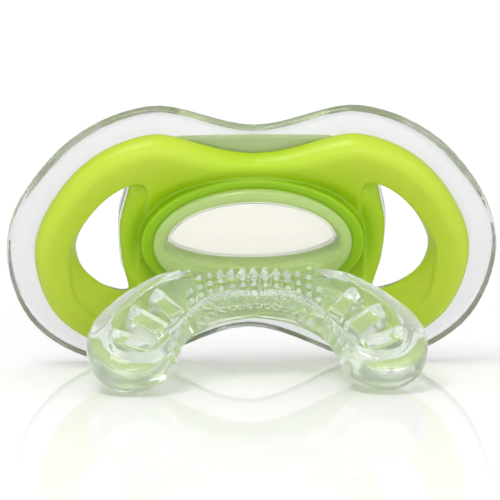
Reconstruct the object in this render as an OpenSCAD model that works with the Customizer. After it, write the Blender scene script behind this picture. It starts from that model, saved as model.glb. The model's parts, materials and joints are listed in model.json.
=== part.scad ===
// Teething pacifier standing on a table: a butterfly shield of two moulded shells, with a soft
// horseshoe teether clamped between them.
// Each piece is drawn in the shield's own frame: x across, y up the shield, z out of its front.
// stand() then leans the shield forward, until its lobes and the teether's tips touch the table.

/* [Shield] */
// Width of the whole shield
shield_w = 60; // [58:0.5:62]
// Height of the whole shield, along its face
shield_h = 37.4; // [36.6:0.2:38.2]
// Radius of the bow that brings the shield's wings forward
bow_r = 165; // [140:5:260]
// Angle by which the shield leans forward when it stands
lean = 26; // [24:0.5:28]
// Width of the clear rim around the front shield
rim_w = 3.4; // [3:0.1:3.8]
// Thickness of the clear rear shell
rear_t = 2.3; // [2.1:0.1:2.6]
// Thickness of the front shield
front_t = 2.4; // [2.2:0.1:2.8]

/* [Centre] */
// Half width of the oval opening for the teether's neck
neck_a = 12.2; // [11.8:0.1:12.4]
// Half height of the oval neck
neck_b = 7.8; // [7.4:0.1:8]
// Height of the neck's centre on the shield
neck_y = 19.3; // [19:0.1:19.6]
// Distance from the rim's middle plane to the neck's front lip
neck_front = 3.8; // [3.6:0.1:3.9]
// Half width of the hollow in the neck
hollow_a = 10.4; // [9.8:0.1:10.6]
// How far the hollow reaches above its widest line
hollow_up = 6.6; // [6.2:0.1:6.7]
// How far the hollow reaches below its widest line
hollow_down = 3; // [2.6:0.1:3.2]
// Height of the hollow's widest line on the shield
hollow_y = 19; // [18.8:0.1:19.2]
// Thickness of the silicone that lines the seat's opening
lining = 0.5; // [0.4:0.05:0.6]
// Width of the raised ring of the front shield around the neck
boss_w = 1.6; // [1.2:0.1:1.8]
// Height of the ring's face over the rim's middle plane
boss_z = 3.05; // [3:0.05:3.2]
// Height of the seat behind the neck's lip over the rim's middle plane
seat_z = 2.9; // [2.6:0.1:2.9]
// Width of the valley around the ring, beside it
valley_w = 2.1; // [1.6:0.1:2.4]
// How far the soft flange that the shells clamp reaches past the neck
flange_w = 1.5; // [1.1:0.1:1.6]
// Thickness of that flange
flange_t = 0.5; // [0.4:0.05:0.6]

/* [Teether] */
// Width across the arms of the horseshoe
arch_w = 41; // [40:0.5:42]
// Thickness of the horseshoe
arch_t = 4.9; // [4.6:0.1:5]
// Angle by which the horseshoe droops from square to the shield
droop = 8; // [7:0.5:9]
// Height of a pointed nub
nub_h = 1.4; // [1:0.1:1.5]
// Distance between two nubs in a row
nub_pitch = 1.38; // [1.3:0.02:1.44]
// Depth of the channel that holds the nubs and the arms' cross blocks
channel_d = 1.55; // [1.2:0.05:1.8]

/* [Fits] */
// Radius of the pegs that join the shells
peg_r = 1.1; // [0.9:0.05:1.2]
// Gap between a peg and its socket
peg_gap = 0.05; // [0.03:0.01:0.1]
// Gap between the flexing parts of the teether
flex_gap = 0.12; // [0.1:0.01:0.2]
// Gap between the neck and the front shield
neck_gap = 0.15; // [0.1:0.05:0.2]
// Room around the flange in its pocket
flange_room = 0.3; // [0.2:0.05:0.4]

/* [Hidden] */
$fn = 64;

// Where the layers lie along z, counted from the rim's middle plane at the shield's centre
seam_z = 0.9;
rear_z = seam_z - rear_t;
front_z = seam_z + front_t;
panel_z = 0.5;
flange_front = panel_z + flange_t;
valley_z = 2.2;
lip_gap = 0.02;
// Share of a width across the shield that the ring and the valley keep along it
boss_share = 0.75;
valley_share = 0.48;
pad_proud = 1.4;
plate_back = rear_z - pad_proud;
// Ends of the cuts that go right through, and how far a cut starts outside what it cuts
behind = -8;
ahead = 12;
spill = 1;

// Table height and the place of the part's middle, both seen from the shield's frame
table_lift = 0.41;
middle_shift = 13.64;

// Right half of the rim, from the top notch round the wing to the bottom notch
rim_half = [for (p = [[0, 0.92], [0.423, 1], [0.788, 0.861], [1, 0.535], [0.888, 0.179], [0.513, 0], [0, 0.134]])
    [p.x * shield_w / 2, p.y * shield_h]];

// Right side hole of the front shield, clockwise from its top corner, and the rear shell's wider one
hole_knots = [[15.3, 27.3], [18, 25.7], [20.2, 22.8], [21.6, 19.3], [21, 15.9], [19, 13.3],
    [16.7, 11.8], [15.3, 11.9], [16.1, 16], [16.4, 21.5]];
rear_hole_knots = [[15.5, 27.1], [18.2, 26.1], [20.9, 23.5], [22.6, 19.4], [22.1, 15.2], [19.8, 12],
    [16.8, 10.4], [14.9, 10.6], [16.2, 15.6], [16.7, 21.5]];

// Outer and inner edge of the horseshoe's right arm, from the neck to the tip and back
arch_s = arch_w / 41;
arch_half = [for (p = [[16.9, 9.5], [19.5, 13.3], [20.5, 17.2], [19.7, 20.7], [17.5, 22.9], [15, 23.5],
    [12.5, 22.8], [10.6, 21], [9.9, 19], [9.3, 16.9], [7.9, 14], [4.2, 11.2]]) [p.x * arch_s, p.y]];
arch_root_x = 13;
arch_apex_z = 10.2;

// Flexing line across the root of the horseshoe
flex_r = arch_t / 2 - 0.05;
flex_z = 5.8;
flex_y = 15.3;
barrel_half = 11.5;

// Right half of the channel's outline: along the neck, the outer bead, the tip and the inner ridge
channel_half = [[8, 4.6], [11.1, 7.6], [13.2, 9.8], [15.4, 12.3], [16.9, 14.9], [17.6, 17.2], [16.9, 19.6],
    [15, 20.4], [12.6, 20], [10.9, 18.4], [9.5, 15.6], [7.7, 12.4], [4.3, 9.9]];
channel_bend = [[0, 3.9], [9.8, 3.9], [9.6, 7.5], [5, 10], [0, 9.3]];

// Cross blocks of an arm: middle of each, and the angle by which it slants towards the neck
cross_blocks = [[11, 12, -38], [13.2, 15.4, -24], [15.2, 18.5, -15]];
block_w = 1.7;

// Rows of nubs on the bend: radius of each row's arc, and where it crosses the middle line
nub_rows = [[12, 7.7], [14, 6.35], [16.6, 5]];
nubs_each_side = 5;
nub_base_r = 0.55;
nub_tip_r = 0.15;
nub_root = 0.1;

// Pegs: their places on the right half of the shield, and how far they reach behind the seam
peg_spots = [[9.6, 30], [24.7, 19.4], [9.8, 8.6]];
peg_reach = 1.3;
peg_root = 0.6;

// Bridge of the front shield behind the rim's top notch
bridge_half = 11.5;
bridge_top = 33.1;
bridge_h = 5;
bridge_t = 0.7;
bridge_proud = 0.25;
bridge_gap = 0.08;
bridge_room = 2;

function knot(p, i) = p[(i + len(p)) % len(p)];
function curve_point(a, b, c, d, t) =
    (2 * b + (c - a) * t + (2 * a - 5 * b + 4 * c - d) * t * t + (3 * b - a - 3 * c + d) * t * t * t) / 2;
// Smooth closed curve through the knots, with n points from one knot to the next
function closed_curve(p, n) = [for (i = [0 : len(p) - 1]) for (j = [0 : n - 1])
    curve_point(knot(p, i - 1), knot(p, i), knot(p, i + 1), knot(p, i + 2), j / n)];
// Smooth open curve through the knots, whose end knots count twice
function open_curve(p, n) = [for (i = [0 : len(p) - 2]) for (j = [0 : n - 1])
    curve_point(p[max(i - 1, 0)], p[i], p[i + 1], p[min(i + 2, len(p) - 1)], j / n)];
// Both halves of an outline whose first and last knots lie on the middle line
function both_halves(p) = concat(p, [for (i = [len(p) - 2 : -1 : 1]) [-p[i].x, p[i].y]]);
function unit(v) = v / norm(v);
function left_normal(p, i) = let (d = unit(knot(p, i + 1) - knot(p, i - 1))) [-d.y, d.x];
// Clockwise outline moved inwards by d
function inset(p, d) = [for (i = [0 : len(p) - 1]) p[i] - d * left_normal(p, i)];
function bow(x) = x * x / (2 * bow_r);

rim_line = closed_curve(both_halves(rim_half), 6);
front_line = inset(rim_line, rim_w);
hole_line = closed_curve(hole_knots, 5);
rear_hole_line = closed_curve(rear_hole_knots, 5);
arm_line = open_curve(concat([[arch_root_x, flex_z]], arch_half, [[0, arch_apex_z]]), 4);
arch_line = concat(arm_line, [[0, arch_apex_z]], [for (i = [len(arm_line) - 1 : -1 : 0])
    [-arm_line[i].x, arm_line[i].y]]);

// Leans the children forward and cuts them off at the table
module stand() {
    difference() {
        translate([0, middle_shift, table_lift]) rotate([90 + lean, 0, 0]) children();
        translate([-shield_w, -shield_w, behind]) cube([2 * shield_w, 2 * shield_w, -behind]);
    }
}

module both_sides() {
    children();
    mirror([1, 0, 0]) children();
}

// Cylinder whose back side is the bowed surface at the height z
module bow_cylinder(z) {
    translate([0, -spill, bow_r]) rotate([-90, 0, 0])
        cylinder(h = shield_h + 2 * spill, r = bow_r - z, $fn = 180);
}

// Plate of the given outline, bowed forward, between the heights low and high at its centre
module bowed_plate(outline, low, high) {
    intersection() {
        translate([0, 0, low - spill]) linear_extrude(high - low + 2 * spill + bow(shield_w / 2))
            polygon(outline);
        difference() {
            bow_cylinder(low);
            bow_cylinder(high);
        }
    }
}

module side_holes(outline) {
    both_sides() translate([0, 0, behind]) linear_extrude(ahead - behind) polygon(outline);
}

module oval(a, b, y, low, high) {
    n = 60;
    translate([0, y, low]) linear_extrude(high - low)
        polygon([for (i = [0 : n - 1]) [a * cos(360 * i / n), b * sin(360 * i / n)]]);
}

// Valley around the raised ring, which is left standing in it
module valley() {
    ring_a = neck_a + boss_w;
    ring_b = neck_b + boss_w * boss_share;
    difference() {
        oval(ring_a + valley_w, ring_b + valley_w * valley_share, neck_y, valley_z, ahead);
        oval(ring_a, ring_b, neck_y, behind, boss_z);
    }
}

// Room for the soft flange, from the height low up to high
module flange_pocket(low, high) {
    oval(neck_a + flange_w + flange_room, neck_b + flange_w + flange_room, neck_y, low, high);
}

// Hollow of the neck between two heights, grown by grow
module half_moon(grow, low, high) {
    n = 60;
    translate([0, hollow_y, low]) linear_extrude(high - low)
        polygon([for (i = [0 : n - 1]) let (a = 360 * i / n, reach = a < 180 ? hollow_up : hollow_down)
            [(hollow_a + grow) * cos(a), (reach + grow) * sin(a)]]);
}

// Pegs or their sockets, grown by gap
module pegs(gap) {
    both_sides() for (p = peg_spots)
        translate([p.x, p.y, bow(p.x) + seam_z - peg_reach - 2 * gap])
            cylinder(h = peg_reach + 2 * gap + peg_root, r = peg_r + gap);
}

// Straight bridge behind the rim's top notch, grown by gap and reaching front of the seam
module bridge(gap, front) {
    translate([-bridge_half - gap, bridge_top - bridge_h, seam_z - bridge_t - gap])
        cube([2 * (bridge_half + gap), bridge_h + gap, bridge_t + gap + front]);
}

module front_shield() color([0.64, 0.8, 0.14]) stand() {
    difference() {
        union() {
            bowed_plate(front_line, seam_z, front_z);
            bridge(0, bridge_proud);
            pegs(0);
        }
        side_holes(hole_line);
        oval(neck_a + neck_gap, neck_b + neck_gap, neck_y, seat_z, ahead);
        half_moon(lining + neck_gap, behind, ahead);
        valley();
        flange_pocket(behind, flange_front);
    }
}

module rear_shell() color([0.9, 0.93, 0.92, 0.5]) stand() {
    difference() {
        union() {
            bowed_plate(rim_line, rear_z, seam_z);
            oval(neck_a, neck_b, neck_y, plate_back, panel_z);
        }
        side_holes(rear_hole_line);
        bridge(bridge_gap, bridge_room);
        pegs(peg_gap);
        flange_pocket(panel_z, ahead);
    }
}

module teether_base() color([0.86, 0.94, 0.84]) stand() {
    difference() {
        union() {
            oval(neck_a + flange_w, neck_b + flange_w, neck_y, panel_z, flange_front);
            half_moon(lining, panel_z, neck_front);
            oval(neck_a, neck_b, neck_y, seat_z + lip_gap, neck_front);
        }
        half_moon(0, behind, ahead);
        translate([0, flex_y, flex_z]) rotate([0, 90, 0])
            cylinder(h = 2 * (neck_a + spill), r = flex_r + flex_gap, center = true);
    }
}

// Horseshoe slab between two heights above its middle plane
module arch_slab(outline, low, high) {
    rotate([90, 0, 0]) translate([0, 0, -high]) linear_extrude(high - low) polygon(outline);
}

// Places children at the horseshoe's middle plane, so that it droops about the flexing line
module on_arch() {
    translate([0, flex_y, flex_z]) rotate([droop, 0, 0]) translate([0, 0, -flex_z]) children();
}

// Channel sunk into the top of the bend and both arms, with the cross blocks left in it
module channel() {
    top = arch_t / 2;
    difference() {
        union() {
            both_sides() arch_slab(closed_curve(channel_half, 4), top - channel_d, top + spill);
            arch_slab(both_halves(channel_bend), top - channel_d, top + spill);
        }
        both_sides() for (b = cross_blocks)
            translate([b.x, 0, b.y]) rotate([0, -b.z, 0]) cube([arch_w, 2 * top, block_w], center = true);
    }
}

// Rows of pointed nubs on the channel's floor, along arcs about the middle of the mouth
module nubs() {
    for (row = nub_rows)
        for (i = [-nubs_each_side : nubs_each_side]) {
            a = i * nub_pitch / row.x * 180 / PI;
            translate([row.x * sin(a), arch_t / 2 - channel_d - nub_root, row.y + row.x * (1 - cos(a))])
                rotate([-90, 0, 0])
                    cylinder(h = nub_h + nub_root, r1 = nub_base_r, r2 = nub_tip_r, $fn = 16);
        }
}

module teether_mouthpiece() color([0.8, 0.92, 0.78]) stand() on_arch() {
    difference() {
        union() {
            arch_slab(arch_line, -arch_t / 2, arch_t / 2);
            translate([0, 0, flex_z]) rotate([0, 90, 0])
                cylinder(h = 2 * barrel_half, r = flex_r, center = true);
        }
        channel();
    }
    nubs();
}

front_shield();
rear_shell();
teether_base();
teether_mouthpiece();
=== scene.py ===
import json
import math

import bpy
import numpy as np
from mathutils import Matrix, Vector


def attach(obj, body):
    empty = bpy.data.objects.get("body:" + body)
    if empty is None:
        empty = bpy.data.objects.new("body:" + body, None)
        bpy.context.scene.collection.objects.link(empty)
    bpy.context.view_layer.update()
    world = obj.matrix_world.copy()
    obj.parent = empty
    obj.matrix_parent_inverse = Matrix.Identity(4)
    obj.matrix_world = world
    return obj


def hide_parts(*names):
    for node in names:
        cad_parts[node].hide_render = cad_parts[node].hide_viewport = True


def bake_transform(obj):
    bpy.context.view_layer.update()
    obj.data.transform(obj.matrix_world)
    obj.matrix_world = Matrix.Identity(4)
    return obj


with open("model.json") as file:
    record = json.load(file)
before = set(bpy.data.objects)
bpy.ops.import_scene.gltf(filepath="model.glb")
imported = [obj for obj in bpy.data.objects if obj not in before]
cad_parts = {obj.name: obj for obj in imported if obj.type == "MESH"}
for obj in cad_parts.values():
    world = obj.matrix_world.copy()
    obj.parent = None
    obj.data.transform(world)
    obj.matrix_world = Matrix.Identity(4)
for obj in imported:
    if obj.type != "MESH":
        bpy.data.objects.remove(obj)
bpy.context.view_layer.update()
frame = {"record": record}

# Teething pacifier standing on a table: a lime front shield on a clear rear shell, and one clear
# silicone moulding that is the neck, the horseshoe and everything moulded on it.
# Every piece is described by a signed distance in millimetres, negative inside, in the shield's own
# frame: u across, v up the shield, w out of its front. mesh_from_field() turns it into a mesh.

MM = 0.001

# ---------------------------------------------------------------- driving dimensions
# As in the CAD, apart from the hollow, the funnel, the horseshoe's root and the channel's ends
SHIELD_W = 60
SHIELD_H = 37.4
BOW_R = 165
RIM_W = 3.4
SEAM_W = 0.9
REAR_W = -1.4
PANEL_W = 0.5
PAD_W = -2.8
NECK_A = 12.2
NECK_B = 7.8
NECK_V = 19.3
NECK_FRONT = 3.8
HOLLOW_A = 10.9
HOLLOW_UP = 6.5
HOLLOW_DOWN = 3.7
HOLLOW_V = 19.0
SEAT_W = 1.0
SEAT_FRONT = 2.9
LINING = 0.5
FLANGE_W = 1.5
PEG_R = 1.1
PEG_SPOTS = ((9.6, 30), (24.7, 19.4), (9.8, 8.6))
PEG_END = -0.4
ARCH_T = 4.9
DROOP = math.radians(8)
FLEX_V = 15.3
FLEX_W = 5.8

# Right half of the rim, from the top notch round the wing to the bottom notch
RIM_HALF = [(x * SHIELD_W / 2, y * SHIELD_H) for x, y in (
    (0, 0.92), (0.423, 1), (0.788, 0.861), (1, 0.535), (0.888, 0.179), (0.513, 0), (0, 0.134))]
# Right side hole, and the funnel around it that the front shield slopes into
HOLE = [(15.3, 27.3), (18, 25.7), (20.2, 22.8), (21.6, 19.3), (21, 15.9), (19, 13.3),
        (16.7, 11.8), (15.3, 11.9), (16.1, 16), (16.4, 21.5)]
FUNNEL = [(14.3, 28.3), (17.6, 26.8), (20.5, 23.6), (22.6, 19.3), (22.3, 13), (20.5, 9.8),
          (17.8, 7.9), (15.3, 7.6), (14, 12), (13.7, 18), (12.9, 22.5), (12.8, 26.6)]
# Outer and inner edge of the horseshoe's right arm, from the neck to the tip and back
ARCH_HALF = [(8, 4.2), (11.4, 5.4), (14, 7.2), (16.9, 9.9), (19.5, 13.3), (20.5, 17.2), (19.7, 20.7),
             (17.5, 22.9), (15, 23.5), (12.5, 22.8), (10.6, 21), (9.9, 19), (9.3, 16.9), (7.9, 14),
             (4.2, 11.2), (0, 10.2)]
ARCH_BACK = 4.2
# Channel in the right half of the horseshoe's top: along the neck, the outer bead, the tip, the ridge
CHANNEL_HALF = [(0, 4.4), (5.5, 4.6), (8.8, 5.9), (11, 7.9), (13.2, 9.9), (15.4, 12.3), (16.9, 14.9),
                (17.6, 17.2), (16.9, 19.6), (15, 20.4), (12.6, 20), (10.9, 18.4), (9.5, 15.6), (7.7, 12.4),
                (4.3, 9.9), (0, 9.3)]

# ---------------------------------------------------------------- shapes that are plainer in the CAD
BRIDGE_HALF = 9.8
BRIDGE_V = (27.5, 33.1)
BRIDGE_BACK = -0.6
# Front shield's face: its highest level, the roll at its edge, and how far it sinks towards the
# middle, round the neck's raised ring, in a small dent by each side hole's top and inside the funnel
CROWN_W = 3.6
ROLL_R = 2.1
DISH_DEPTH = 1.1
DISH_FROM, DISH_TO = 1.5, 8.5
RING_A = 13.7
RING_B = 9.0
RING_W = 3.05
VALLEY_DEPTH = 0.9
VALLEY_SPREAD = 1.5
DENT = (14.3, 27)
DENT_SPREAD = (0.9, 0.7)
DENT_DEPTH = 0.7
FUNNEL_STEP = 0.4
FUNNEL_SLOPE = 0.9
# Side hole of the rear shell, against the front shield's
REAR_HOLE_WIDER = 1.25
REAR_HOLE_NARROWER = 0.15
# Wall of the mouth gap: middle and radius of its bend, height and pitch of its ribs, and its lean
BEND_S = 19.5
BEND_R = 9.6
RIB_H = 0.55
RIB_PITCH = 1.1
ARM_RIB_PITCH = 1.6
RIB_BED = 0.25
WALL_LEAN = 0.12
# Pads across the right arm: (x, s) at the channel's side, (x, s) at the outer end, and width
CROSS_PADS = (((9.5, 13.1), (12.1, 9.9), 2.3), ((11.3, 16), (15, 12.9), 2.7),
              ((12.6, 18.9), (17.3, 16.9), 2.5))
PAD_T = 1.85
GABLE_H = 1.1
# Rows of nubs on the bend: radius of the row's arc, s where it meets the middle line, nubs each side
NUB_ROWS = ((12, 8.2, 6), (14, 6.9, 6), (16.6, 5.6, 5))
NUB_PITCH = 1.38
NUB_R = 0.66
NUB_T = 2.25

# ---------------------------------------------------------------- frames
pad = next(m for m in frame["record"]["mounts"] if m["name"] == "rear_pad")
OUT = -Vector(pad["axis"])
UP = Vector((0, OUT.z, -OUT.y))
ACROSS = Vector((1, 0, 0))
ORIGIN = Vector(pad["pos_m"]) / MM - NECK_V * UP - PAD_W * OUT


def shield_point(u, v, w):
    """A point of the shield's frame, in the row frame, in metres."""
    return (ORIGIN + u * ACROSS + v * UP + w * OUT) * MM


def shield_frame():
    """Origin and axes of the shield's frame, in millimetres."""
    return np.array(ORIGIN), np.array([ACROSS, UP, OUT])


def arch_frame():
    """Origin and axes of the horseshoe's frame: x across, t up through its thickness, s along it."""
    thick = math.cos(DROOP) * UP + math.sin(DROOP) * OUT
    along = -math.sin(DROOP) * UP + math.cos(DROOP) * OUT
    flex = ORIGIN + FLEX_V * UP + FLEX_W * OUT
    return np.array(flex - FLEX_W * along), np.array([ACROSS, thick, along])


# ---------------------------------------------------------------- outlines
def curve_point(a, b, c, d, t):
    """Point at the share t of the way from b to c, on a smooth curve through a, b, c and d."""
    return (2 * b + (c - a) * t + (2 * a - 5 * b + 4 * c - d) * t * t + (3 * b - a - 3 * c + d) * t ** 3) / 2


def closed_curve(knots, n=8):
    """Smooth closed curve through the knots, with n points from one knot to the next."""
    p = np.array(knots, float)
    return np.array([curve_point(p[i - 1], p[i], p[(i + 1) % len(p)], p[(i + 2) % len(p)], j / n)
                     for i in range(len(p)) for j in range(n)])


def open_curve(knots, n=8):
    """Smooth open curve through the knots, whose end knots count twice."""
    p = np.array(knots, float)
    q = np.vstack([p[:1], p, p[-1:]])
    line = [curve_point(q[i], q[i + 1], q[i + 2], q[i + 3], j / n)
            for i in range(len(p) - 1) for j in range(n)]
    return np.array(line + [p[-1]])


def mirrored(line):
    """Both halves of an outline whose first and last points lie on the middle line."""
    back = line[-2:0:-1] * (-1, 1)
    return np.vstack([line, back])


def outline_distance(x, y, line):
    """Signed distance in the plane to a closed outline, negative inside it."""
    x, y = np.broadcast_arrays(x, y)
    px, py = x.ravel()[:, None], y.ravel()[:, None]
    out = np.empty(px.shape[0])
    ax, ay = line[:, 0], line[:, 1]
    bx, by = np.roll(ax, -1), np.roll(ay, -1)
    ex, ey = bx - ax, by - ay
    length2 = ex * ex + ey * ey
    chunk = 20000
    for i in range(0, len(out), chunk):
        dx, dy = px[i:i + chunk] - ax, py[i:i + chunk] - ay
        t = np.clip((dx * ex + dy * ey) / length2, 0, 1)
        near = np.sqrt(((dx - t * ex) ** 2 + (dy - t * ey) ** 2).min(1))
        above = (ay > py[i:i + chunk]) != (by > py[i:i + chunk])
        cross = above & (dx < ex * dy / np.where(ey == 0, 1e-9, ey))
        out[i:i + chunk] = np.where(cross.sum(1) % 2 == 1, -near, near)
    return out.reshape(x.shape)


# ---------------------------------------------------------------- distance helpers
def oval(x, y, a, b):
    """Signed distance to an ellipse, close near its edge."""
    k = np.sqrt((x / a) ** 2 + (y / b) ** 2)
    g = np.sqrt((x / a ** 2) ** 2 + (y / b ** 2) ** 2) + 1e-6
    return np.where(k < 0.02, -np.minimum(a, b), k * (k - 1) / g)


def round_and(a, b, r):
    """Both at once, with the edge between them rounded to the radius r."""
    return np.minimum(-r, np.maximum(a, b)) + np.hypot(np.maximum(a + r, 0), np.maximum(b + r, 0))


def round_or(a, b, r):
    """Either of the two, with a fillet of the radius r between them."""
    return -round_and(-a, -b, r)


def ramp(x, low, high):
    """0 below low, 1 above high, and smooth between."""
    t = np.clip((x - low) / (high - low), 0, 1)
    return t * t * (3 - 2 * t)


def between(z, low, high):
    """Signed distance to the layer from low to high."""
    return np.abs(z - (low + high) / 2) - (high - low) / 2


# ---------------------------------------------------------------- mesh from a field
def sample(field, low, high, step, block=24):
    """The field on a grid. Blocks far from the surface only get their middle's value."""
    count = [int(math.ceil((b - a) / step)) + 1 for a, b in zip(low, high)]
    axes = [a + step * np.arange(n) for a, n in zip(low, count)]
    grid = np.empty(count, np.float32)
    reach = block * step * math.sqrt(3) / 2 * 1.4
    for i in range(0, count[0], block):
        for j in range(0, count[1], block):
            for k in range(0, count[2], block):
                spans = (slice(i, i + block), slice(j, j + block), slice(k, k + block))
                x, y, z = [axis[s] for axis, s in zip(axes, spans)]
                middle = field(*[np.array([(c[0] + c[-1]) / 2]) for c in (x, y, z)])[0]
                if abs(middle) > reach:
                    grid[spans] = middle
                else:
                    grid[spans] = field(x[:, None, None], y[None, :, None], z[None, None, :])
    return axes, grid


def surface_net(grid):
    """One vertex in each cell that the surface crosses, and one quad across each crossed edge."""
    inside = grid < 0
    n = [c - 1 for c in grid.shape]
    corners = [(a, b, c) for a in (0, 1) for b in (0, 1) for c in (0, 1)]

    def part(array, o):
        return array[o[0]:o[0] + n[0], o[1]:o[1] + n[1], o[2]:o[2] + n[2]]

    total = sum(part(inside, o).astype(np.int8) for o in corners)
    active = (total > 0) & (total < 8)
    cell = np.argwhere(active)
    values = {o: grid[cell[:, 0] + o[0], cell[:, 1] + o[1], cell[:, 2] + o[2]] for o in corners}
    place = np.zeros((len(cell), 3))
    hits = np.zeros(len(cell))
    for o in corners:
        for axis in range(3):
            if o[axis]:
                continue
            p = tuple(1 if a == axis else o[a] for a in range(3))
            f0, f1 = values[o], values[p]
            crossed = (f0 < 0) != (f1 < 0)
            t = np.where(crossed, f0 / np.where(crossed, f0 - f1, 1), 0)
            point = np.array(o, float)[None, :].repeat(len(cell), 0)
            point[:, axis] = t
            place += point * crossed[:, None]
            hits += crossed
    slope = np.stack([sum((values[o] if o[axis] else -values[o]) for o in corners) / 4
                      for axis in range(3)], 1)
    number = np.full(active.shape, -1, np.int32)
    number[active] = np.arange(len(cell))
    quads = []
    for axis in range(3):
        b, c = (axis + 1) % 3, (axis + 2) % 3
        low = [slice(0, s) for s in n]
        low[b], low[c] = slice(1, n[b]), slice(1, n[c])
        high = list(low)
        high[axis] = slice(1, n[axis] + 1)
        first, second = inside[tuple(low)], inside[tuple(high)]
        edge = np.argwhere(first != second)
        leaving = first[tuple(edge.T)]
        at = edge.copy()
        at[:, b] += 1
        at[:, c] += 1
        ring = []
        for db, dc in ((-1, -1), (0, -1), (0, 0), (-1, 0)):
            q = at.copy()
            q[:, b] += db
            q[:, c] += dc
            ring.append(number[tuple(q.T)])
        ring = np.stack(ring, 1)
        ring[~leaving] = ring[~leaving][:, ::-1]
        quads.append(ring)
    return cell + place / hits[:, None], slope, np.vstack(quads)


def mesh_from_field(name, field, low, high, step, place):
    """A smooth mesh of the field's surface, flat where it meets the table.

    low and high are the corners of the box around the right half, which starts at x = 0 and is
    mirrored. place is the origin and axes of the field's frame."""
    axes, grid = sample(field, low, high, step)
    grid = np.concatenate([grid[:0:-1], grid])
    low = (-axes[0][-1], low[1], low[2])
    points, slope, quads = surface_net(grid)
    points = points * step + np.array(low)
    slope /= np.linalg.norm(slope, axis=1)[:, None] + 1e-9
    start = points.copy()
    for _ in range(3):
        value = field(*points.T)
        points -= slope * np.clip(value, -step, step)[:, None] * 0.9
        points = np.clip(points, start - step, start + step)
    origin, directions = place
    world = (origin + points @ directions) * MM
    world[:, 2] = np.maximum(world[:, 2], 0)
    mesh = bpy.data.meshes.new(name)
    mesh.vertices.add(len(world))
    mesh.vertices.foreach_set("co", world.astype(np.float32).ravel())
    mesh.loops.add(quads.size)
    mesh.loops.foreach_set("vertex_index", quads.astype(np.int32).ravel())
    mesh.polygons.add(len(quads))
    mesh.polygons.foreach_set("loop_start", np.arange(0, quads.size, 4, dtype=np.int32))
    mesh.polygons.foreach_set("use_smooth", np.ones(len(quads), bool))
    mesh.update(calc_edges=True)
    mesh.validate()
    piece = bpy.data.objects.new(name, mesh)
    bpy.context.scene.collection.objects.link(piece)
    return piece


# ---------------------------------------------------------------- the two shells
RIM = closed_curve(np.vstack([RIM_HALF, np.array(RIM_HALF[-2:0:-1]) * (-1, 1)]))
HOLE_LINE = closed_curve(HOLE)
FUNNEL_LINE = closed_curve(FUNNEL)


def bow(u):
    """How far the shield's front stands out at u, because it is bowed."""
    return u * u / (2 * BOW_R)


def pegs(u, v, w):
    """The front shield's pegs, between the seam and their ends in the rear shell."""
    side = np.abs(u)
    near = np.minimum.reduce([np.hypot(side - x, v - y) for x, y in PEG_SPOTS]) - PEG_R
    return round_and(near, between(w, PEG_END, SEAM_W + 0.5), 0.2)


def bridge_field(u, v, w):
    """Straight bridge of the front shield, sunk in the rim under the top notch."""
    flat = round_and(np.abs(u) - BRIDGE_HALF, between(v, *BRIDGE_V), 0.8)
    return round_and(flat, between(w - bow(u), BRIDGE_BACK, SEAM_W - 0.1), 0.25)


def front_face(side, v, edge, hole, ring):
    """Level of the front shield's face, from the distances to its edge, its side hole and the neck's ring."""
    funnel = outline_distance(side, v, FUNNEL_LINE)
    share = np.clip(-funnel / (np.maximum(hole, 0) + np.maximum(-funnel, 0) + 1e-6), 0, 1)
    dish = DISH_DEPTH * ramp(-edge, DISH_FROM, DISH_TO)
    valley = VALLEY_DEPTH * np.exp(-(np.maximum(ring, 0) / VALLEY_SPREAD) ** 2)
    dent_u, dent_v = (side - DENT[0]) / DENT_SPREAD[0], (v - DENT[1]) / DENT_SPREAD[1]
    dent = DENT_DEPTH * np.exp(-dent_u ** 2 - dent_v ** 2)
    return CROWN_W - dish - valley - FUNNEL_STEP * ramp(-funnel, 0, 0.6) - FUNNEL_SLOPE * share ** 2 - dent


def front_shield_field(u, v, w):
    """Dished and rolled face, the neck's ring and seat, the side holes and the pegs."""
    w = w - bow(u)
    side = np.abs(u)
    edge = outline_distance(side, v, RIM) + RIM_W
    hole = outline_distance(side, v, HOLE_LINE)
    ring = oval(u, v - NECK_V, RING_A, RING_B)
    body = round_and(edge, w - front_face(side, v, edge, hole, ring), ROLL_R)
    boss = round_and(ring, w - (RING_W + 0.03 * ring), 0.3)
    body = round_or(body, boss, 0.35)
    body = round_and(body, SEAM_W - w, 0.15)
    body = np.minimum(body, pegs(u, v, w))
    body = round_and(body, -hole, 0.45)
    body = round_and(body, -oval(u, v - NECK_V, NECK_A - 0.02, NECK_B - 0.02), 0.25)
    seat = round_and(oval(u, v - NECK_V, NECK_A + 1, NECK_B + 1), between(w, SEAT_W, SEAT_FRONT), 0.1)
    return round_and(np.minimum(body, seat), -hollow(u, v, SEAT_W, LINING - 0.02), 0.1)


def hollow(u, v, w, grow=0):
    """Half-moon hollow through the neck, grown by grow, and 0.7 mm wider in the lip than behind it."""
    high = v - HOLLOW_V
    moon = oval(u, high, HOLLOW_A, np.where(high > 0, HOLLOW_UP, HOLLOW_DOWN))
    return moon + 0.7 * (1 - ramp(w, 2.9, 3.4)) - grow


def rear_hole(side, v):
    """The rear shell's side hole: wider low down on the outer side, out of sight, and narrower elsewhere."""
    low_outside = np.maximum(ramp(side, 16, 18) * ramp(-v, -24, -20), ramp(-v, -15, -12))
    wider = (REAR_HOLE_WIDER + REAR_HOLE_NARROWER) * low_outside
    return outline_distance(side, v, HOLE_LINE) - wider + REAR_HOLE_NARROWER


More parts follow.
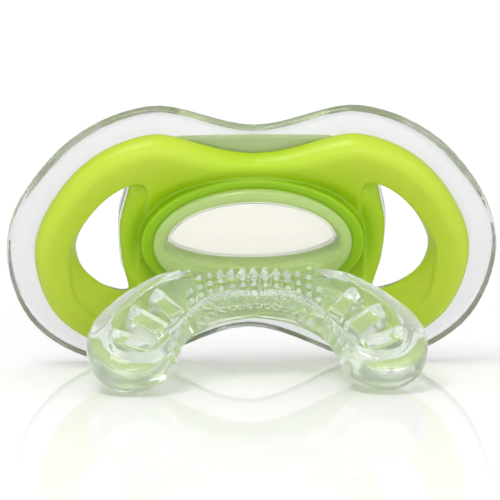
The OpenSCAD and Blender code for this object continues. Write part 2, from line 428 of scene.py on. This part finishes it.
def rear_shell_field(u, v, w):
    """Rim and closed middle, with the pad on its back and the pocket for the teether's flange."""
    w = w - bow(u)
    side = np.abs(u)
    rim = outline_distance(side, v, RIM)
    back_r = 0.7 + 1.2 * ramp(v, 22, 31)
    body = round_and(round_and(rim, w - SEAM_W, 0.3), REAR_W - w, back_r)
    pad_side = round_and(oval(u, v - NECK_V, NECK_A, NECK_B), PAD_W - w, 0.5)
    body = round_or(body, np.maximum(pad_side, w - PANEL_W), 0.6)
    body = round_and(body, -rear_hole(side, v), 0.5)
    pocket = np.maximum(oval(u, v - NECK_V, NECK_A + FLANGE_W, NECK_B + FLANGE_W), PANEL_W - w)
    return round_and(body, -pocket, 0.1)


# ---------------------------------------------------------------- the silicone moulding
ARCH = mirrored(np.vstack([[(0, ARCH_BACK)], open_curve(ARCH_HALF)]))
CHANNEL = mirrored(open_curve(CHANNEL_HALF))


def neck_field(u, v, w):
    """Lip in front of the seat, waist through it, and flange behind it."""
    outer = oval(u, v - NECK_V, NECK_A, NECK_B)
    lip = round_and(outer, between(w, SEAT_FRONT - 0.02, NECK_FRONT), 0.3)
    waist = np.maximum(hollow(u, v, SEAT_W, LINING), between(w, PANEL_W, SEAT_FRONT + 0.4))
    flange = np.maximum(outer - FLANGE_W, between(w, PANEL_W, SEAT_W))
    return np.minimum(np.minimum(lip, waist), flange)


def cross_pad(x, t, s, start, end, width):
    """Broad pad from start to end, with a raised point at its outer end."""
    length = math.dist(start, end)
    dx, ds = (end[0] - start[0]) / length, (end[1] - start[1]) / length
    along = (x - start[0]) * dx + (s - start[1]) * ds
    across = -(x - start[0]) * ds + (s - start[1]) * dx
    flat = round_and(between(along, 0, length), np.abs(across) - width / 2, 0.3)
    gable = GABLE_H * np.exp(-((length - along) / 0.9) ** 2 - (across / 0.8) ** 2)
    return round_and(flat, t - PAD_T - gable, 0.35)


def cross_pads(x, t, s):
    """The pads across an arm, down to a level inside the slab."""
    pads = np.minimum.reduce([cross_pad(x, t, s, *pad) for pad in CROSS_PADS])
    return np.maximum(pads, -1 - t)


def nub_row(x, t, s, radius, middle, each_side):
    """Cones with bulging sides, along an arc about a point on the middle line."""
    centre = middle + radius
    turn = np.arctan2(x, centre - s)
    step = NUB_PITCH / radius
    off = turn - np.clip(np.round(turn / step), -each_side, each_side) * step
    reach = np.hypot(x, centre - s)
    flat = np.hypot(reach * np.sin(off), reach * np.cos(off) - radius)
    rise = t - 0.9
    return (flat - NUB_R + 0.3 * rise + 0.06 * rise ** 2) * 0.94


def nubs(x, t, s):
    """Rows of pointed nubs on the bend, down to a level inside the slab."""
    field = np.minimum.reduce([nub_row(x, t, s, *row) for row in NUB_ROWS])
    return np.maximum(round_and(field, t - NUB_T, 0.15), 0.5 - t)


def ribs(place, pitch):
    """Rounded ribs along the given place, from 0 to 1."""
    return np.sqrt(0.5 + 0.5 * np.cos(place / pitch * 2 * math.pi))


def wall_ribs(x, t, s):
    """Height of the ribs on the wall of the mouth gap: two staggered rows on the bend, tall on the arms."""
    turn = np.arctan2(x, BEND_S - s)
    upper = ribs(turn * BEND_R, RIB_PITCH) * ramp(t, 0.1, 0.4) * ramp(-t, -2.0, -1.7)
    lower = ribs(turn * BEND_R + RIB_PITCH / 2, RIB_PITCH) * ramp(t, -1.3, -1.0) * ramp(-t, -0.1, 0.2)
    slanted = turn * BEND_R - 0.35 * t
    tall = ribs(slanted, ARM_RIB_PITCH) * ramp(t, -1.6, -1.2) * ramp(-t, -2.1, -1.8)
    on_arm = ramp(turn, 0.75, 0.85)
    return RIB_H * ((upper + lower) * (1 - on_arm) + tall * on_arm)


def horseshoe_slab(side, t, s):
    """Horseshoe without pads and nubs: ribbed wall in the gap, rounder outside, and a channel on top."""
    reach = np.hypot(side, s - BEND_S)
    outer = np.maximum(ramp(reach, 11, 14), ramp(s, 18.5, 22.5))
    gap_side = (1 - ramp(reach, 10.5, 12.5)) * (1 - ramp(s, 20, 22))
    lean = RIB_BED + WALL_LEAN * (t + ARCH_T / 2)
    wall = outline_distance(side, s, ARCH) - gap_side * (wall_ribs(side, t, s) - lean)
    bottom = -ARCH_T / 2 - 0.25 * ramp(s, 17, 22)
    top = ARCH_T / 2 - 1.1 * (1 - ramp(s, 3.6, 6.6))
    slab = round_and(wall, np.maximum(t - top, bottom - t), 0.5 + 1.7 * outer)
    floor_t = 0.9 - 1.0 * ramp(side, 8.5, 10.5)
    channel = round_and(outline_distance(side, s, CHANNEL), floor_t - t, 0.3)
    return round_and(slab, -channel, 0.3)


def teether_field(x, t, s):
    """Horseshoe, pads, nubs and neck as one body, with the hollow through the neck."""
    side = np.abs(x)
    v = FLEX_V + t * math.cos(DROOP) - (s - FLEX_W) * math.sin(DROOP)
    w = FLEX_W + t * math.sin(DROOP) + (s - FLEX_W) * math.cos(DROOP)
    body = round_or(horseshoe_slab(side, t, s), cross_pads(side, t, s), 0.15)
    body = round_or(body, nubs(x, t, s), 0.15)
    body = round_or(body, neck_field(x, v, w), 1.2)
    return round_and(body, -np.maximum(hollow(x, v, w), w - 5.2), 0.4)


# ---------------------------------------------------------------- materials
def principled(name, **values):
    """A material with one Principled shader. Each value goes to the socket it names, with _ for a space."""
    material = bpy.data.materials.new(name)
    material.use_nodes = True
    shader = material.node_tree.nodes["Principled BSDF"]
    for key, value in values.items():
        shader.inputs[key.replace("_", " ")].default_value = value
    return material


def noise(material, scale, detail):
    """A noise texture on the object, scale in waves per metre."""
    nodes, links = material.node_tree.nodes, material.node_tree.links
    place = nodes.new("ShaderNodeTexCoord")
    texture = nodes.new("ShaderNodeTexNoise")
    texture.inputs["Scale"].default_value = scale
    texture.inputs["Detail"].default_value = detail
    links.new(place.outputs["Object"], texture.inputs["Vector"])
    return texture.outputs[0]


def mapped(material, value, low, high, to_low, to_high):
    """The value, stretched from one range to another and kept inside it."""
    node = material.node_tree.nodes.new("ShaderNodeMapRange")
    for key, number in (("From Min", low), ("From Max", high), ("To Min", to_low), ("To Max", to_high)):
        node.inputs[key].default_value = number
    material.node_tree.links.new(value, node.inputs["Value"])
    return node.outputs["Result"]


def bumped(material, value, height):
    """Bump on the shader's normal, height in metres."""
    nodes, links = material.node_tree.nodes, material.node_tree.links
    bump = nodes.new("ShaderNodeBump")
    bump.inputs["Strength"].default_value = 1.0
    bump.inputs["Distance"].default_value = height
    links.new(value, bump.inputs["Height"])
    links.new(bump.outputs["Normal"], nodes["Principled BSDF"].inputs["Normal"])


def rough(material, texture, spread, low, high):
    """Roughness from low to high, while the noise goes through the spread on each side of its middle."""
    value = mapped(material, texture, 0.5 - spread, 0.5 + spread, low, high)
    material.node_tree.links.new(value, material.node_tree.nodes["Principled BSDF"].inputs["Roughness"])


def neck_reach(material):
    """Distance from the neck's axis, as a share of the neck's own oval."""
    nodes, links = material.node_tree.nodes, material.node_tree.links
    place = nodes.new("ShaderNodeTexCoord")
    offset = nodes.new("ShaderNodeVectorMath")
    offset.operation = "SUBTRACT"
    offset.inputs[1].default_value = shield_point(0, NECK_V, 2)
    squash = nodes.new("ShaderNodeVectorMath")
    squash.operation = "MULTIPLY"
    squash.inputs[1].default_value = (1 / (NECK_A * MM), 1 / (NECK_B * MM), 1 / (NECK_B * MM))
    reach = nodes.new("ShaderNodeVectorMath")
    reach.operation = "LENGTH"
    links.new(place.outputs["Object"], offset.inputs[0])
    links.new(offset.outputs["Vector"], squash.inputs[0])
    links.new(squash.outputs["Vector"], reach.inputs[0])
    return reach.outputs["Value"]


def shades(tree, value, stops):
    """Colour that follows the value through the given stops."""
    node = tree.nodes.new("ShaderNodeValToRGB")
    elements = node.color_ramp.elements
    elements[0].position, elements[1].position = stops[0][0], stops[-1][0]
    elements[0].color, elements[1].color = (*stops[0][1], 1), (*stops[-1][1], 1)
    for position, colour in stops[1:-1]:
        elements.new(position).color = (*colour, 1)
    tree.links.new(value, node.inputs["Fac"])
    return node.outputs["Color"]


def coloured(material, value, stops):
    """Base colour that follows the value through the given stops."""
    tree = material.node_tree
    tree.links.new(shades(tree, value, stops), tree.nodes["Principled BSDF"].inputs["Base Color"])


def lime_plastic():
    """Satin lime with painted shade and light: deeper green around the neck, paler on the outer roll and
    under the silicone.
    """
    material = principled("lime_plastic", IOR=1.49, Specular_IOR_Level=0.4, Subsurface_Weight=0.25,
                          Subsurface_Radius=(0.6, 1.0, 0.15), Subsurface_Scale=0.0015)
    # Painted light and shade: paler under the silicone, darkest just beside the neck's ring, then lighter out
    # to the outer roll.
    painted_light_under_neck, painted_shade_beside_neck = (0.56, 0.78, 0.045), (0.21, 0.43, 0.001)
    painted_half_shade, painted_light_outer_roll = (0.355, 0.535, 0.006), (0.43, 0.565, 0.03)
    coloured(material, mapped(material, neck_reach(material), 0.9, 1.9, 0, 1),
             ((0, painted_light_under_neck), (0.09, painted_light_under_neck), (0.12, painted_shade_beside_neck), (0.45, painted_half_shade), (1, painted_light_outer_roll)))
    rough(material, noise(material, 900, 3), 0.2, 0.34, 0.44)
    bumped(material, noise(material, 9000, 2), 0.000004)
    return material


def lime_with_painted_haze():
    """The lime of the sunk bridge, paled with painted light that stands for the haze of the clear plastic
    around it.
    """
    # Painted light: a paler lime in place of the clear plastic's whitish haze.
    material = principled("lime_with_painted_haze", Base_Color=(0.62, 0.8, 0.3, 1), IOR=1.49)
    rough(material, noise(material, 900, 3), 0.2, 0.4, 0.55)
    return material


def clear_plastic():
    """Polished clear plastic, creamy behind the neck, with faint flow marks in its haze."""
    material = principled("clear_plastic", IOR=1.49, Transmission_Weight=0.9)
    behind_neck, elsewhere = (1.0, 0.975, 0.9), (0.84, 0.845, 0.86)
    coloured(material, mapped(material, neck_reach(material), 1, 1.4, 0, 1),
             ((0, behind_neck), (1, elsewhere)))
    rough(material, noise(material, 120, 2), 0.15, 0.02, 0.16)
    bumped(material, noise(material, 160, 1), 0.00006)
    return material


def clear_silicone():
    """Milky clear silicone, not quite even in thickness."""
    material = principled("clear_silicone", Base_Color=(0.93, 0.985, 0.9, 1), IOR=1.41,
                          Transmission_Weight=0.84)
    rough(material, noise(material, 400, 2), 0.15, 0.015, 0.05)
    bumped(material, noise(material, 500, 2), 0.00002)
    return material


def dress(piece, material):
    """Gives the piece its material."""
    piece.data.materials.append(material)


# ---------------------------------------------------------------- the pieces
def build_pieces():
    coarse = 1
    bridge = mesh_from_field("shield_bridge", bridge_field, (0, 27, -0.8), (10.2, 33.6, 1.4),
                             0.17 * coarse, shield_frame())
    front = mesh_from_field("front_shield_moulding", front_shield_field, (0, 3, -1.2), (28, 36, 6.4),
                            0.18 * coarse, shield_frame())
    rear = mesh_from_field("rear_shell_moulding", rear_shell_field, (0, -1, -3.4), (31, 38.4, 4.4),
                           0.215 * coarse, shield_frame())
    teether = mesh_from_field("silicone_teether", teether_field, (0, -7, -0.2), (21.5, 14, 26),
                              0.15 * coarse, arch_frame())
    dress(front, lime_plastic())
    dress(bridge, lime_with_painted_haze())
    dress(rear, clear_plastic())
    dress(teether, clear_silicone())
    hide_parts("front_shield")
    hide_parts("rear_shell")
    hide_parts("teether_base", "teether_mouthpiece")
    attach(front, "shield")
    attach(bridge, "shield")
    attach(rear, "shield")
    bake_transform(teether)


# ---------------------------------------------------------------- floor, lights, camera
def floor():
    """Glossy white table, which glows a little more away from the object, so that its far side is white."""
    half = 3.0
    mesh = bpy.data.meshes.new("floor")
    corners = [(-half, -half, 0), (half, -half, 0), (half, half, 0), (-half, half, 0)]
    mesh.from_pydata(corners, [], [(0, 1, 2, 3)])
    plane = bpy.data.objects.new("floor", mesh)
    bpy.context.scene.collection.objects.link(plane)
    table = principled("white_table", Base_Color=(0.8, 0.8, 0.8, 1), Roughness=0.05, IOR=1.13,
                       Emission_Color=(1, 1, 1, 1))
    nodes, links = table.node_tree.nodes, table.node_tree.links
    place = nodes.new("ShaderNodeTexCoord")
    reach = nodes.new("ShaderNodeVectorMath")
    reach.operation = "LENGTH"
    links.new(place.outputs["Object"], reach.inputs[0])
    links.new(mapped(table, reach.outputs["Value"], 0.06, 0.3, 0.05, 0.25),
              nodes["Principled BSDF"].inputs["Emission Strength"])
    plane.data.materials.append(table)


def softbox(name, place, size, power):
    """Rectangular lamp at the given place, aimed at the object."""
    aim = Vector((0, 0, 0.015))
    data = bpy.data.lights.new(name, "AREA")
    data.shape = "RECTANGLE"
    data.size, data.size_y = size
    data.energy = power
    lamp = bpy.data.objects.new(name, data)
    lamp.location = place
    lamp.rotation_mode = "QUATERNION"
    lamp.rotation_quaternion = (aim - Vector(place)).to_track_quat("-Z", "Y")
    bpy.context.scene.collection.objects.link(lamp)


def surroundings():
    """White near the horizon, greyest about 37 degrees up, and pale overhead."""
    world = bpy.data.worlds.new("studio")
    world.use_nodes = True
    tree = world.node_tree
    direction = tree.nodes.new("ShaderNodeTexCoord")
    split = tree.nodes.new("ShaderNodeSeparateXYZ")
    tree.links.new(direction.outputs["Generated"], split.inputs["Vector"])
    greys = [(height, (grey, grey, grey)) for height, grey in ((0.3, 1.02), (0.6, 0.65), (1.0, 0.9))]
    tree.links.new(shades(tree, split.outputs["Z"], greys), tree.nodes["Background"].inputs["Color"])
    bpy.context.scene.world = world


def lights():
    surroundings()
    softbox("key", (-0.15, -0.25, 0.45), (0.25, 0.2), 1.3)
    softbox("low_front", (0.03, -0.5, 0.1), (0.35, 0.12), 0.5)
    softbox("fill", (0.35, -0.3, 0.2), (0.2, 0.2), 0.3)


def camera():
    """Long lens, a little above the table and a little to the viewer's left."""
    azimuth, elevation, distance = math.radians(-3.2), math.radians(8), 0.4
    lens, sensor = 228.1, 36
    target = Vector((0.3, ORIGIN.y, 13.9)) * MM
    back = Vector((math.sin(azimuth) * math.cos(elevation), -math.cos(azimuth) * math.cos(elevation),
                   math.sin(elevation)))
    data = bpy.data.cameras.new("camera")
    data.lens, data.sensor_width = lens, sensor
    data.clip_start, data.clip_end = 0.01, 10
    eye = bpy.data.objects.new("camera", data)
    eye.location = target + back * distance
    eye.rotation_mode = "QUATERNION"
    eye.rotation_quaternion = (-back).to_track_quat("-Z", "Y")
    bpy.context.scene.collection.objects.link(eye)
    bpy.context.scene.camera = eye


camera()
build_pieces()
floor()
lights()
scene = bpy.context.scene
scene.view_settings.view_transform = "Standard"
scene.cycles.max_bounces = 24
scene.cycles.transmission_bounces = 24
scene.cycles.use_denoising = True
